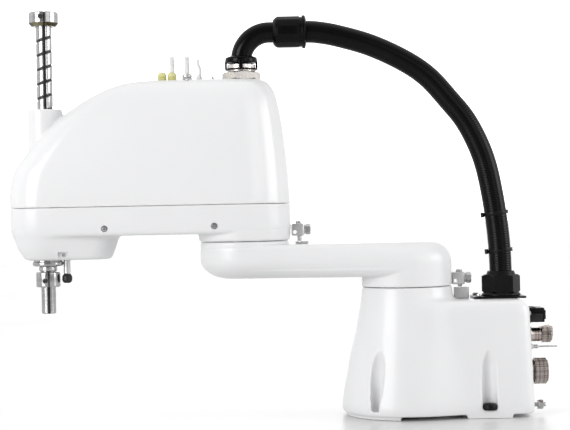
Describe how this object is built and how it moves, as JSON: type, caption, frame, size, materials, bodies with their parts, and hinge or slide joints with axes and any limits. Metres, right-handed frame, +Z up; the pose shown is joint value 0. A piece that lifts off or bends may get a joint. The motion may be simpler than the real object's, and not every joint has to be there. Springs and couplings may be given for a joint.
{
  "type": "scara robot arm",
  "caption": "Four-axis scara robot arm with a bolted base, two swinging arms, a vertical quill that slides and turns, and an arched cable conduit.",
  "frame": {"origin": "on the first joint's vertical axis, in the plane of the base's foot pads", "axes": "+Z up along the first joint's axis, -X along the stretched arm towards the quill, +X to the base's rear panel, +Y to the arm's right-hand side seen from the base"},
  "size_m": [0.7535, 0.187, 0.568],
  "materials": {
    "painted_casting": "semi-gloss white paint",
    "cover_paint": "smooth semi-gloss white",
    "steel": "ground and polished",
    "chrome": "hard chrome, polished",
    "cast_metal": "satin",
    "black_plastic": "satin moulded",
    "hose_plastic": "satin corrugated",
    "fitting_plastic": "satin yellow-green",
    "tube_plastic": "translucent pale",
    "belt_rubber": "matt",
    "motor_black": "satin black"
  },
  "bodies": {
    "base": {"base_casting": "painted_casting", "rear_panel": "cast_metal", "power_connector": "black_plastic", "signal_connector": "steel", "air_inlet_1": "steel", "air_inlet_2": "steel", "motor_connector": "steel", "ground_bolt": "steel", "pocket_plug_1": "black_plastic", "pocket_plug_2": "black_plastic", "j1_motor": "motor_black", "j1_gear_housing": "steel", "zero_block_base": "cast_metal", "gland_gasket": "black_plastic", "gasket_screw_1": "steel", "gasket_screw_2": "steel", "conduit_gland_base": "black_plastic", "conduit_hose": "hose_plastic", "hose_tie_upper": "black_plastic", "hose_tie_lower": "black_plastic"},
    "arm1": {"arm1_casting": "painted_casting", "j1_output_hub": "steel", "j2_output_hub": "steel", "zero_lug_arm1": "cast_metal", "zero_bolt_arm1": "steel", "zero_pad_arm1": "cast_metal"},
    "arm2": {"arm2_casting": "painted_casting", "arm2_cover": "cover_paint", "quill_sleeve": "cover_paint", "j2_gear_housing": "steel", "j2_motor": "motor_black", "zero_lug_arm2": "cast_metal", "zero_bolt_arm2": "steel", "air_fitting_1": "fitting_plastic", "air_fitting_2": "fitting_plastic", "air_tube": "tube_plastic", "port_fitting": "cast_metal", "port_tube": "tube_plastic", "signal_stub": "steel", "nose_flange": "chrome", "quill_seal": "steel", "stop_post": "cast_metal", "stop_post_screw": "black_plastic", "nut_bracket": "cast_metal", "j4_motor_bracket": "cast_metal", "j3_motor": "motor_black", "j4_motor": "motor_black", "j3_belt": "belt_rubber", "j4_belt": "belt_rubber", "conduit_gland_arm": "cast_metal"},
    "spline_nut": {"spline_nut": "steel"},
    "ball_nut": {"ball_nut": "steel"},
    "quill": {"quill_shaft": "chrome", "top_stop_ring": "chrome", "stop_collar": "chrome", "collar_screw": "black_plastic"},
    "j3_motor_pulley": {"j3_motor_pulley": "cast_metal"},
    "j4_motor_pulley": {"j4_motor_pulley": "cast_metal"},
    "conduit_elbow": {"conduit_elbow": "hose_plastic", "hose_coupling": "hose_plastic"}
  },
  "joints": [
    {"name": "j1_shoulder", "type": "hinge", "parent": "base", "child": "arm1", "pos_m": [0, 0, 0.177], "axis": [0, 0, 1], "range_deg": [-132, 132], "deforming": ["conduit_hose", "hose_tie_upper", "hose_tie_lower"]},
    {"name": "j2_elbow", "type": "hinge", "parent": "arm1", "child": "arm2", "pos_m": [-0.225, 0, 0.2438], "axis": [0, 0, 1], "range_deg": [-145, 145]},
    {"name": "j4_roll", "type": "hinge", "parent": "arm2", "child": "spline_nut", "pos_m": [-0.5, 0, 0.25], "axis": [0, 0, 1], "range_deg": [-358, 358]},
    {"name": "j3_stroke", "type": "slide", "parent": "spline_nut", "child": "quill", "axis": [0, 0, -1], "range_m": [0, 0.2]},
    {"name": "ball_nut_spin", "type": "hinge", "parent": "spline_nut", "child": "ball_nut", "pos_m": [-0.5, 0, 0.31], "axis": [0, 0, 1], "range_deg": [0, 3600]},
    {"name": "j3_motor_spin", "type": "hinge", "parent": "arm2", "child": "j3_motor_pulley", "pos_m": [-0.41, 0.024, 0.328], "axis": [0, 0, 1], "range_deg": [0, 7920]},
    {"name": "j4_motor_spin", "type": "hinge", "parent": "arm2", "child": "j4_motor_pulley", "pos_m": [-0.41, -0.024, 0.27], "axis": [0, 0, 1], "range_deg": [-788, 788]},
    {"name": "conduit_swivel", "type": "hinge", "parent": "arm2", "child": "conduit_elbow", "pos_m": [-0.225, 0, 0.497], "axis": [0, 0, 1], "range_deg": [-145, 145]}
  ],
  "couplings": [
    {"joint": "ball_nut_spin", "follows": "j3_stroke", "rad_per_m": 314.16},
    {"joint": "j3_motor_spin", "follows": "j3_stroke", "rad_per_m": 691.15},
    {"joint": "j4_motor_spin", "follows": "j4_roll", "ratio": 2.2},
    {"joint": "conduit_swivel", "follows": "j2_elbow", "ratio": -1}
  ]
}
